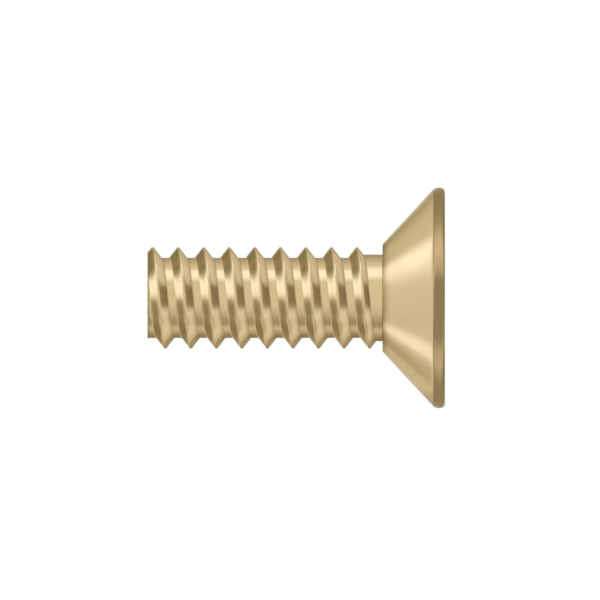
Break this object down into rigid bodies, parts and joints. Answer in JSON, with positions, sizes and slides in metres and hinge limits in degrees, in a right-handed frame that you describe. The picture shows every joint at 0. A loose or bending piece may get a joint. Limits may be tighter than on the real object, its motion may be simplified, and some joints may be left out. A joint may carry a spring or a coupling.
{
  "type": "machine screw",
  "caption": "Flat-head machine screw in satin brass: an undercut countersunk head with a cross drive, on a shank with a coarse right-hand thread almost up to the head.",
  "frame": {"origin": "centre of the head's flat face, on which the screw stands", "axes": "+Z along the shank, from the head's flat face to the cut tip; the wings of the cross recess lie along X and Y"},
  "size_m": [0.0094, 0.0094, 0.0127],
  "materials": {
    "satin_brass": "satin"
  },
  "bodies": {
    "root": {"machine_screw": "satin_brass"}
  },
  "joints": []
}
